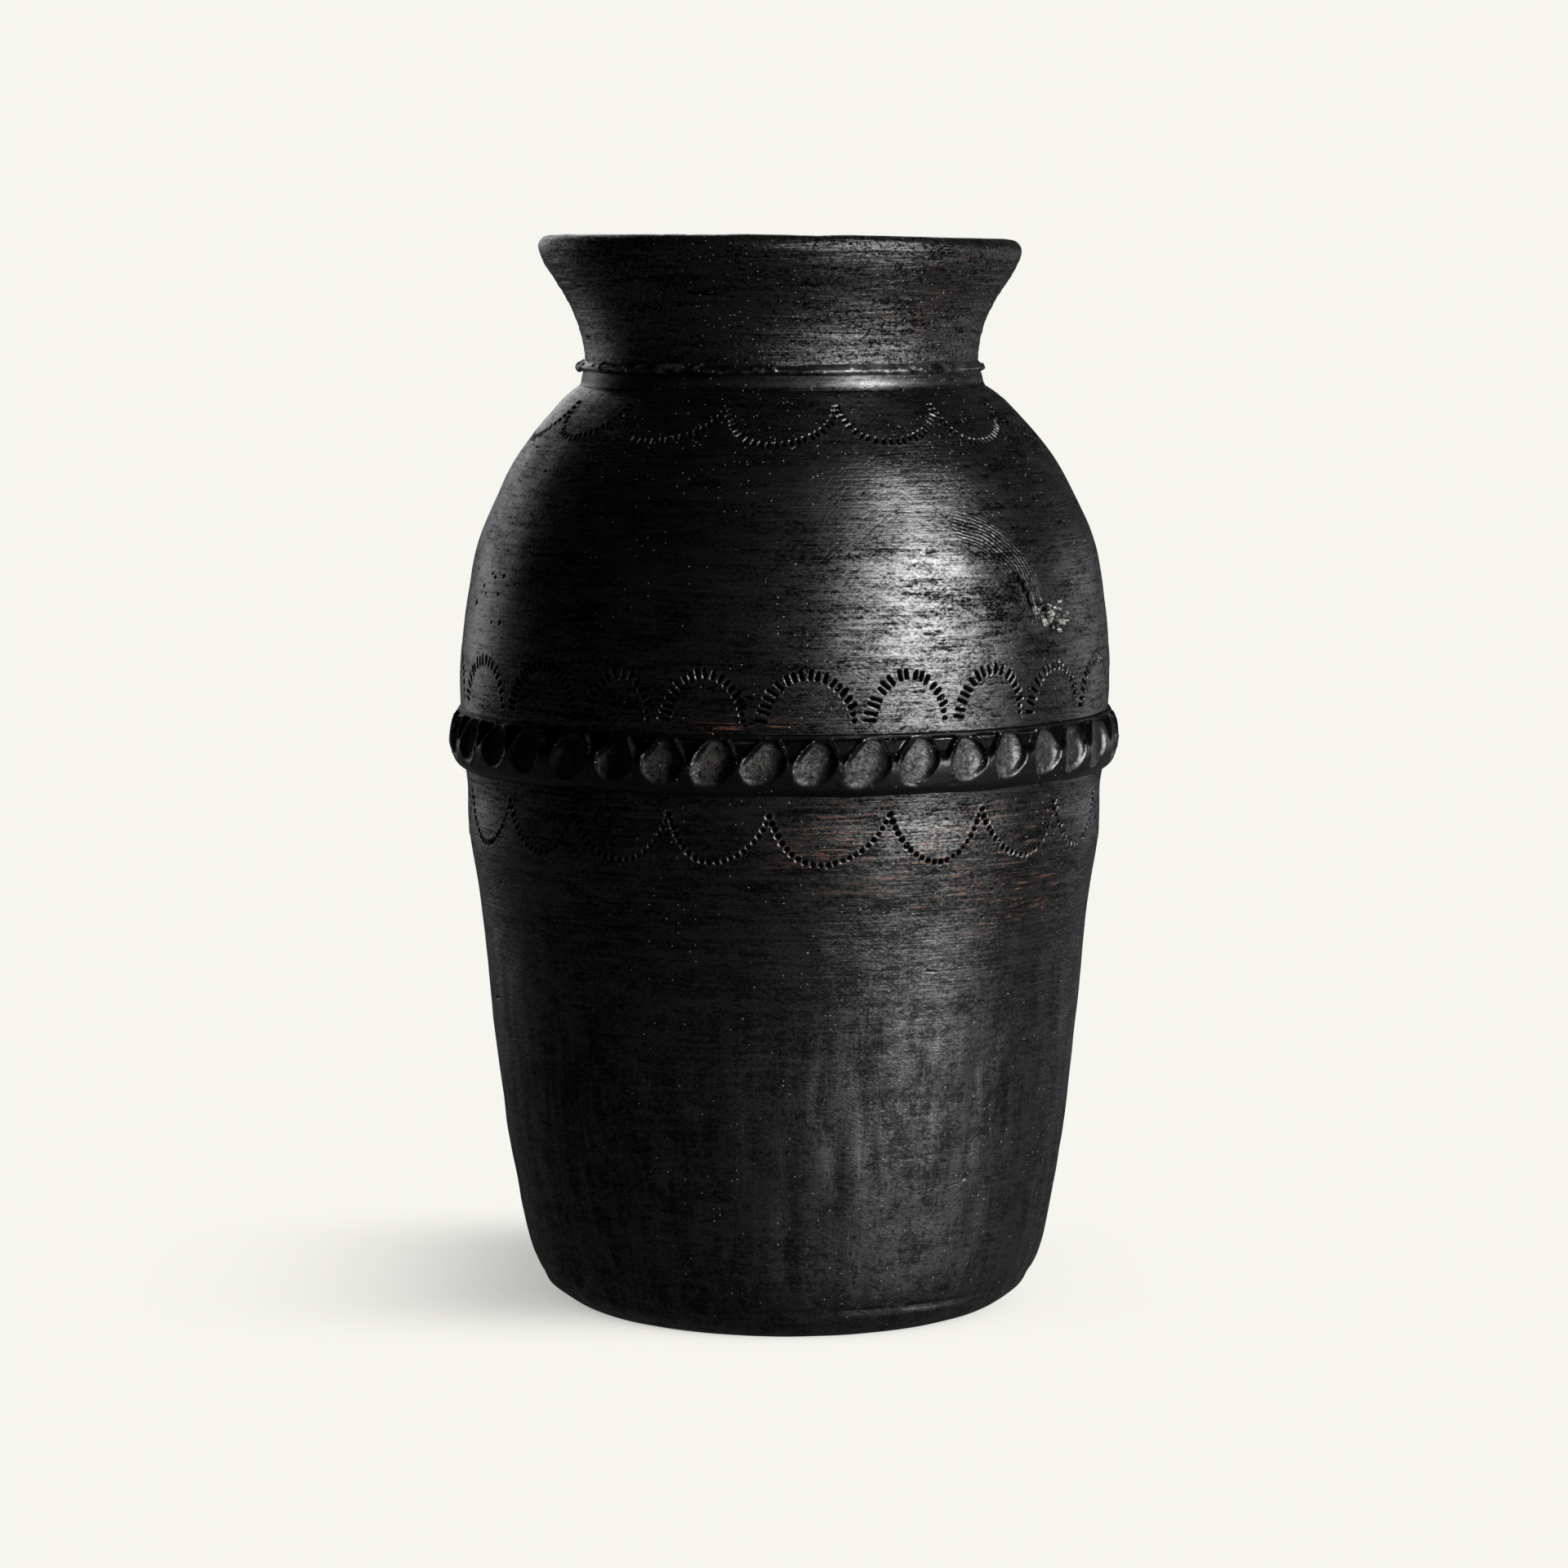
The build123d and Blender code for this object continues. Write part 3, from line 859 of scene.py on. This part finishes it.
class Nodes:
    """Builds one material or world; sockets are passed between its methods."""

    def __init__(self, owner, coordinates="Object", scale=1 / MM):
        owner.use_nodes = True
        self.owner = owner
        self.tree = owner.node_tree
        self.tree.nodes.clear()
        where = self.add("ShaderNodeTexCoord").outputs[coordinates]
        self.place = self.scaled(where, (scale, scale, scale))
        self.x, self.y, self.z = self.add("ShaderNodeSeparateXYZ", {0: self.place}).outputs

    def add(self, kind, inputs=None, **settings):
        node = self.tree.nodes.new(kind)
        for name, value in settings.items():
            setattr(node, name, value)
        for key, value in (inputs or {}).items():
            if isinstance(value, bpy.types.NodeSocket):
                self.tree.links.new(value, node.inputs[key])
            else:
                node.inputs[key].default_value = value
        return node

    def scaled(self, vector, factors):
        return self.add("ShaderNodeVectorMath", {0: vector, 1: factors}, operation="MULTIPLY").outputs[0]

    def length(self, vector):
        return self.add("ShaderNodeVectorMath", {0: vector}, operation="LENGTH").outputs["Value"]

    def noise(self, size, detail=3.0, rough=0.5, twist=0.0, offset=0.0, lean=0.0):
        """Cloud noise; size is a grain's size in mm along x, y and z; lean turns it about the y axis."""
        place = self.place
        if lean:
            turn = {"Vector": place, "Angle": math.radians(lean)}
            place = self.add("ShaderNodeVectorRotate", turn, rotation_type="Y_AXIS").outputs[0]
        place = self.scaled(place, tuple(1 / s for s in size))
        shift = (offset, offset * 0.7, offset * 1.3)
        place = self.add("ShaderNodeVectorMath", {0: place, 1: shift}).outputs[0]
        inputs = {"Vector": place, "Scale": 1.0, "Detail": detail, "Roughness": rough, "Distortion": twist}
        return self.add("ShaderNodeTexNoise", inputs).outputs[0]

    def math(self, operation, a, b=0.0, c=0.0):
        return self.add("ShaderNodeMath", {0: a, 1: b, 2: c}, operation=operation).outputs[0]

    def times(self, a, b):
        return self.math("MULTIPLY", a, b)

    def times_plus(self, a, b, c):
        return self.math("MULTIPLY_ADD", a, b, c)

    def most(self, a, b):
        return self.math("MAXIMUM", a, b)

    def ramp(self, value, low, high, to_low=0.0, to_high=1.0):
        inputs = {0: value, 1: low, 2: high, 3: to_low, 4: to_high}
        return self.add("ShaderNodeMapRange", inputs, interpolation_type="SMOOTHSTEP").outputs[0]

    def mix(self, share, a, b):
        return self.add("ShaderNodeMix", {0: share, 2: a, 3: b}, data_type="FLOAT").outputs[0]

    def tint(self, share, a, b):
        return self.add("ShaderNodeMix", {0: share, 6: a, 7: b}, data_type="RGBA").outputs[2]

    def mark(self, name):
        return self.add("ShaderNodeAttribute", attribute_name=name).outputs["Fac"]

    def total(self, terms):
        """Weighted sum of (weight, socket) pairs, each socket taken about its middle of 0.5."""
        result = None
        for weight, socket in terms:
            part = self.times_plus(socket, weight, -0.5 * weight)
            result = part if result is None else self.math("ADD", result, part)
        return result

    def near(self, x, z, wide, tall, front=True):
        """1 at (x, z) on the front or back of the pot, falling to 0 on an oval of that size."""
        dx = self.times_plus(self.x, 1 / wide, -x / wide)
        dz = self.times_plus(self.z, 1 / tall, -z / tall)
        inside = self.ramp(self.times_plus(dx, dx, self.times(dz, dz)), 1.0, 0.1)
        side = 5.0 if front else -5.0
        return self.times(inside, self.ramp(self.y, side, -side))

    def brush_arc(self, centre, radius, width, pitch):
        """Fine concentric lines of a brush that swung round a point, above it and to its right."""
        away = self.add("ShaderNodeVectorMath", {0: self.place, 1: tuple(-c for c in centre)}).outputs[0]
        distance = self.length(away)
        wobble = self.times_plus(self.noise((6, 6, 6), 2), 1.6, distance)
        lines = self.math("SINE", self.times(wobble, TURN / pitch))
        band = self.math("ABSOLUTE", self.math("SUBTRACT", distance, radius))
        part = self.ramp(self.noise((10, 10, 10), 1, offset=radius), 0.44, 0.56)
        part = self.times(part, self.ramp(self.x, centre[0] - 8, centre[0] + 4))
        part = self.times(part, self.ramp(self.z, centre[2] - 2, centre[2] + 6))
        return self.times(self.times(lines, part), self.ramp(band, width, width * 0.3))

    def for_camera(self, shader, seen, unseen):
        """Shader that shows the camera one thing and everything else another."""
        ray = self.add("ShaderNodeLightPath").outputs["Is Camera Ray"]
        parts = [self.add(shader, {0: colour, 1: strength}).outputs[0] for colour, strength in (unseen, seen)]
        return self.add("ShaderNodeMixShader", {0: ray, 1: parts[0], 2: parts[1]}).outputs[0]


BLACK = (0.0010, 0.0009, 0.0010, 1)
FILM = (0.0105, 0.0096, 0.0090, 1)
BROWN = (0.095, 0.043, 0.027, 1)
# lighter grey of crests, part wear and part painted highlight
SCUFF_AND_HIGHLIGHT = (0.05, 0.046, 0.043, 1)
PALE = (0.18, 0.165, 0.15, 1)
PRESSED = (0.024, 0.0225, 0.021, 1)
# near black painted into hollows as shade
PAINTED_SHADE_BLACK = (0.0004, 0.0004, 0.0004, 1)
MATTE = 0.34                    # roughnesses
BURNISHED = 0.275
SMOOTHEST = 0.28
UPRIGHT_FADE = (96.0, 52.0)     # heights between which upright strokes take over from level lines
DULL_FADE = (120.0, 78.0)       # and matte clay gains a faint sheen
SPECKS_FADE = (170.0, 184.0)
FINGERPRINT_PITCH = 0.52


class Clay(Nodes):
    """Black burnished clay: glossy and matte patches, brushed lines, brown rubbing through, pale specks;
    hollows get painted shade and crests a lighter grey, part wear and part painted highlight.

    streaks, mottle and sand are the strengths of level lines, blotches and grain; line is the width of the
    brushed lines in millimetres.
    """

    def __init__(self, name, streaks, mottle, sand, line=0.55):
        super().__init__(bpy.data.materials.new(name))
        self.streaks = streaks
        self.mottle = mottle
        self.sand = sand
        self.broad = self.noise((34, 34, 26), 2)
        self.patch = self.noise((9.0, 9.0, 4.0), 7, 0.80)
        self.scuff = self.noise((4.5, 4.5, 0.9), 5, 0.78, 0.0, 7.0)
        self.rise = self.noise((8.0, 8.0, 0.55), 4, 0.70, 0.0, 11.0, -34)
        self.fall = self.noise((9.0, 9.0, 0.60), 4, 0.70, 0.0, 17.0, 42)
        self.grain = self.noise((0.85, 0.85, 0.55), 3, 0.88)
        self.level = self.noise((12, 12, line), 4, 0.72)
        self.level_wide = self.noise((22, 22, 1.7), 5, 0.75, 0.0, 3.0)
        self.upright = self.noise((2.6, 2.6, 19), 5, 0.72, 0.3, 5.0)
        self.low = self.ramp(self.z, *UPRIGHT_FADE)
        self.calm = self.times_plus(self.mark("calm"), -0.55, 1.0)
        painted_shade_and_crest = self.mark("painted_shade_and_crest")
        # painted shade: hollows are tinted near black, turned rough and lose their coat and reflection
        self.painted_hollow_shade = self.ramp(painted_shade_and_crest, -0.06, -0.35)
        # crests take a lighter grey and more reflection, part wear and part painted highlight
        self.crest_wear_and_highlight = self.ramp(painted_shade_and_crest, 0.02, 0.10)
        self.torn = self.ramp(painted_shade_and_crest, 0.25, 0.45)

    def patches(self, patch, scuff, slanted, grain):
        """Weighted sum of the blotches, the slanting sweeps and the grain."""
        return self.total([
            (patch * self.mottle, self.patch), (scuff * self.mottle, self.scuff),
            (slanted * self.mottle, self.rise), (slanted * self.mottle, self.fall),
            (grain * self.sand, self.grain),
        ])

    def brushed(self, base, level, wide, upright):
        """base plus level lines of those weights, which give way to upright strokes low on the pot."""
        lines = self.total([(wide * self.streaks, self.level_wide), (level * self.streaks, self.level)])
        base = self.times_plus(lines, self.times_plus(self.low, -0.65, 1.0), base)
        return self.times_plus(self.low, self.total([(upright, self.upright)]), base)

    def gloss(self):
        """Above 0 where the clay is burnished, below 0 where it is matte."""
        base = self.math("ADD", self.patches(0.8, 0.6, 0.35, 1.3), self.total([(0.5, self.broad)]))
        return self.times(self.brushed(base, 1.0, 0.6, 1.2), self.calm)

    def brown(self, rub, worn):
        """Brown showing through on worn level lines, mostly near the places in rub."""
        lines = self.times(self.ramp(self.level, 0.53, 0.60), self.ramp(self.scuff, 0.49, 0.57))
        zone = self.ramp(self.broad, 0.72, 0.82)
        for spot in rub:
            zone = self.most(zone, self.near(*spot))
        return self.times(lines, self.times_plus(zone, worn, 0.03 * worn))

    def specks(self):
        """Pale specks, thickest below the neck."""
        cells = {"Vector": self.scaled(self.place, (0.85, 0.85, 0.85)), "Scale": 1.0}
        cell = self.add("ShaderNodeTexVoronoi", cells)
        lucky = self.add("ShaderNodeSeparateColor", {0: cell.outputs["Color"]}).outputs[0]
        lucky = self.times_plus(self.ramp(self.z, *SPECKS_FADE), 0.48, lucky)
        return self.times(self.ramp(cell.outputs["Distance"], 0.15, 0.08), self.ramp(lucky, 0.80, 0.82))

    def film(self, gloss, dusty):
        """The thin grey film on matte clay; dusty widens it."""
        blotch = self.total([
            (1.0, self.level_wide), (0.8, self.patch), (0.9 * self.sand, self.grain), (0.4, self.scuff),
        ])
        return self.times(self.ramp(gloss, 0.15, -0.25), self.ramp(blotch, -0.02 - dusty, 0.16 - dusty))

    def roughness(self, shiny):
        rough = self.times_plus(self.low, 0.06, self.mix(shiny, MATTE, BURNISHED))
        rough = self.math("ADD", rough, self.total([(0.05, self.level), (0.05, self.grain)]))
        rough = self.times_plus(self.painted_hollow_shade, 0.35, rough)
        rough = self.times_plus(self.crest_wear_and_highlight, -0.08, rough)
        rough = self.times_plus(self.mark("calm"), 0.09, rough)
        return self.math("MINIMUM", self.most(rough, SMOOTHEST), 0.95)

    def relief(self, arcs):
        """Height of the fine relief in millimetres."""
        height = self.brushed(self.patches(0.09, 0.06, 0.06, 0.070), 0.12, 0.09, 0.12)
        for centre, radius, width, pitch, rise in arcs:
            height = self.times_plus(self.brush_arc(centre, radius, width, pitch), rise, height)
        return self.times(height, self.calm)

    def surface(self, colour, roughness, specular, shiny, height):
        bump = self.add("ShaderNodeBump", {"Strength": 1.0, "Distance": MM, "Height": height}).outputs[0]
        # painted shade: hollows lose the coat and nearly all reflection
        coat = self.times(self.mix(shiny, 0.0, 0.40), self.math("SUBTRACT", 1.0, self.painted_hollow_shade))
        surface = self.add("ShaderNodeBsdfPrincipled", {
            "Base Color": colour, "Roughness": roughness, "Normal": bump,
            "Specular IOR Level": self.mix(self.painted_hollow_shade, specular, 0.004),
            "Coat Weight": coat, "Coat Roughness": roughness, "Coat Normal": bump,
        })
        self.add("ShaderNodeOutputMaterial", {"Surface": surface.outputs[0]})
        return self.owner


def finish(n, rub, worn, dusty=0.0, pads=False, arcs=()):
    """The whole material. rub lists the places where the clay is worn down to brown and worn is how much of
    it shows; dusty widens the grey film, pads adds sandy fingertip pads painted lighter on their left, and
    arcs are strokes of a brush."""
    gloss = n.gloss()
    shiny = n.ramp(gloss, -0.26, 0.32)
    brown = n.brown(rub, worn)
    specks = n.specks()
    roughness = n.roughness(shiny)
    height = n.relief(arcs)
    colour = n.tint(n.film(gloss, dusty), BLACK, FILM)
    dull = n.ramp(n.z, *DULL_FADE, 0.012, 0.17)
    specular = n.times(n.mix(shiny, dull, 0.98), n.times_plus(brown, -0.6, 1.0))
    if pads:
        # pads are painted lighter on each press's left side, as painted light
        pad_lit_left = n.mark("pad_lit_left")
        sandy = n.noise((1.1, 1.1, 1.1), 4, 0.8, 0.0, 23.0)
        colour = n.tint(n.times(pad_lit_left, n.ramp(sandy, 0.36, 0.60, 0.2, 1.0)), colour, PRESSED)
        roughness = n.mix(pad_lit_left, n.most(n.times(roughness, 0.8), SMOOTHEST), 0.38)
        pressed = n.times(n.mix(shiny, 0.04, 0.42), n.ramp(sandy, 0.38, 0.62, 0.15, 1.2))
        specular = n.mix(pad_lit_left, 0.35, pressed)
        height = n.times_plus(n.times(sandy, pad_lit_left), 0.24, height)
        lean = n.times_plus(n.noise((5, 5, 5), 1), 5.0, n.times_plus(n.x, 0.45, n.z))
        ridges = n.math("SINE", n.times(lean, TURN / FINGERPRINT_PITCH))
        height = n.times_plus(n.times(ridges, pad_lit_left), 0.008, height)
    specular = n.most(specular, n.times(n.crest_wear_and_highlight, 0.8))
    height = n.times_plus(specks, 0.03, height)
    colour = n.tint(brown, colour, BROWN)
    # crests: lighter grey, part wear and part painted highlight
    colour = n.tint(n.times(n.crest_wear_and_highlight, 0.4), colour, SCUFF_AND_HIGHLIGHT)
    colour = n.tint(n.times(n.torn, 0.6), colour, PALE)
    # painted shade: hollows tinted near black
    colour = n.tint(n.painted_hollow_shade, colour, PAINTED_SHADE_BLACK)
    colour = n.tint(specks, colour, PALE)
    return n.surface(colour, roughness, specular, shiny, height)


def body_clay():
    rub = [(26, 104, 34, 13, True), (40, 92, 22, 9, True), (-8, 128, 12, 5, True), (-20, 70, 40, 30, False)]
    arcs = [((33, -60, 144), 24.5, 5, 0.75, 0.028)]
    for centre, radius, width in (
        ((22, -62, 78), 24, 10), ((30, -62, 60), 18, 9), ((-34, -56, 78), 24, 9), ((-10, 62, 84), 24, 10),
        ((-50, 30, 60), 22, 10),
    ):
        arcs.append((centre, radius, width, 1.3, 0.010))
    return finish(Clay("burnished_black", 0.9, 1.0, 1.0), rub, 0.9, arcs=arcs)


def band_clay():
    return finish(Clay("pressed_black", 0.15, 0.7, 1.0), [], 0.2, pads=True)


def neck_clay():
    rub = [(30, 212, 26, 14, True), (-30, 206, 24, 10, False)]
    return finish(Clay("brushed_black", 1.2, 0.7, 1.8, line=0.32), rub, 0.25, dusty=0.14)


# ---------------- stage, light and camera

BACKDROP = (0.923, 0.913, 0.871, 1)
CAMERA_BACK = 1.092             # metres
CAMERA_UP = 0.225
CAMERA_DOWN_DEG = 6.02
LENS_MM = 119.0
CENTRE = Vector((0, 0, 0.12))   # where the lights aim, in metres
FOOT_RADIUS = 43.0
SHADOW_MIDDLE = (-30, 26)       # of the painted soft oval shadow on the floor
SHADOW_HALF = (98, 76)
CONTACT_SHADOW_WIDTH = 2.5             # of the painted contact shadow round the foot
FLOOR_SIDE = 9.0                # half the floor's side, in metres
LIGHTS = (                      # name, azimuth, elevation, distance, width, height and watts
    ("key", 50.5, 17.0, 1.0, 0.21, 0.50, 20.5),
    ("key_tail", 52, -22, 1.0, 0.30, 0.60, 5.5),
    ("left_rim", -140, 6, 1.1, 0.22, 0.54, 0.6),
    ("right_rim", 131, -14, 1.1, 0.36, 0.75, 1.6),
    ("back_fill", 190, 22, 1.1, 0.6, 0.6, 1.2),
)


def stage_floor():
    """Pale floor as the camera sees it, with a painted soft oval shadow on the left and a painted contact
    shadow round the foot; the pot sees a dark table that glows faintly.
    """
    mesh = bpy.data.meshes.new("floor")
    corners = [(x * FLOOR_SIDE, y * FLOOR_SIDE, 0) for x, y in ((-1, -1), (1, -1), (1, 1), (-1, 1))]
    mesh.from_pydata(corners, [], [(0, 1, 2, 3)])
    floor = bpy.data.objects.new("floor", mesh)
    bpy.context.scene.collection.objects.link(floor)
    n = Nodes(bpy.data.materials.new("floor_paint"))
    across = n.times_plus(n.x, 1 / SHADOW_HALF[0], -SHADOW_MIDDLE[0] / SHADOW_HALF[0])
    away = n.times_plus(n.y, 1 / SHADOW_HALF[1], -SHADOW_MIDDLE[1] / SHADOW_HALF[1])
    away = n.times(away, away)
    oval = n.times_plus(across, across, n.times(away, away))
    # painted shadow: a soft oval on the floor left of the pot
    painted_cast_shadow = n.math("EXPONENT", n.times(oval, -3.6))
    edge = n.times_plus(n.length(n.place), -1 / CONTACT_SHADOW_WIDTH, FOOT_RADIUS / CONTACT_SHADOW_WIDTH)
    # painted contact shadow: a thin dark ring round the foot
    painted_contact_shadow = n.math("EXPONENT", edge)
    light = n.times(n.times_plus(painted_cast_shadow, -0.56, 1.0), n.times_plus(painted_contact_shadow, -0.25, 1.0))
    # the camera sees the pale floor with the painted shadows; everything else sees a faint white glow
    # standing in for a dark table
    surface = n.for_camera("ShaderNodeEmission", (BACKDROP, light), ((1, 1, 1, 1), 0.05))
    n.add("ShaderNodeOutputMaterial", {"Surface": surface})
    mesh.materials.append(n.owner)


def stage_world():
    """Pale for the camera; for the pot it is dark in front and grey behind."""
    n = Nodes(bpy.data.worlds.new("studio"), "Generated", 1.0)
    room = n.ramp(n.y, 0.0, 0.9, 0.009, 0.052)
    surface = n.for_camera("ShaderNodeBackground", (BACKDROP, 1.0), ((0.96, 0.98, 1.0, 1), room))
    n.add("ShaderNodeOutputWorld", {"Surface": surface})
    bpy.context.scene.world = n.owner


def softbox(name, azimuth, elevation, distance, wide, tall, power, receivers):
    """Area light aimed at the pot; only the pot's pieces are lit by it and cast its shadows."""
    a = math.radians(azimuth)
    e = math.radians(elevation)
    light = bpy.data.lights.new(name, "AREA")
    light.shape = "RECTANGLE"
    light.size = wide
    light.size_y = tall
    light.energy = power
    lamp = bpy.data.objects.new(name, light)
    towards = Vector((math.sin(a) * math.cos(e), -math.cos(a) * math.cos(e), math.sin(e)))
    lamp.location = CENTRE + towards * distance
    lamp.rotation_euler = (-towards).to_track_quat("-Z", "Y").to_euler()
    bpy.context.scene.collection.objects.link(lamp)
    lamp.light_linking.receiver_collection = receivers
    lamp.light_linking.blocker_collection = receivers


def group(name, things):
    collection = bpy.data.collections.new(name)
    for thing in things:
        collection.objects.link(thing)
    return collection


def stage_camera():
    data = bpy.data.cameras.new("camera")
    data.lens = LENS_MM
    data.sensor_width = 36.0
    camera = bpy.data.objects.new("camera", data)
    camera.location = (0, -CAMERA_BACK, CAMERA_UP)
    camera.rotation_euler = (math.radians(90 - CAMERA_DOWN_DEG), 0, 0)
    bpy.context.scene.collection.objects.link(camera)
    bpy.context.scene.camera = camera


# ---------------- the scene


def main():
    finishes = {"black_clay": body_clay(), "pressed_clay": band_clay(), "brushed_clay": neck_clay()}
    made = [
        (base_slab(), "base_slab", "black_clay"),
        (corner_coil(), "base_corner_coil", "black_clay"),
        (lower_wall(), "lower_wall", "black_clay"),
        (upper_wall(), "upper_wall", "black_clay"),
        (waist_band(), "waist_band", "pressed_clay"),
        (neck(), "neck", "brushed_clay"),
        (neck_collar(), "neck_collar", "black_clay"),
        (rim_coil(), "rim_coil", "brushed_clay"),
    ]
    for piece, node, slot in made:
        piece.data.materials.append(finishes[slot])
        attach(piece, "root")
        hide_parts(node)
    stage_floor()
    stage_world()
    pot = group("pot_receivers", [piece for piece, _, _ in made])
    for light in LIGHTS:
        softbox(*light, pot)
    stage_camera()
    bpy.context.scene.view_settings.view_transform = "Standard"


main()
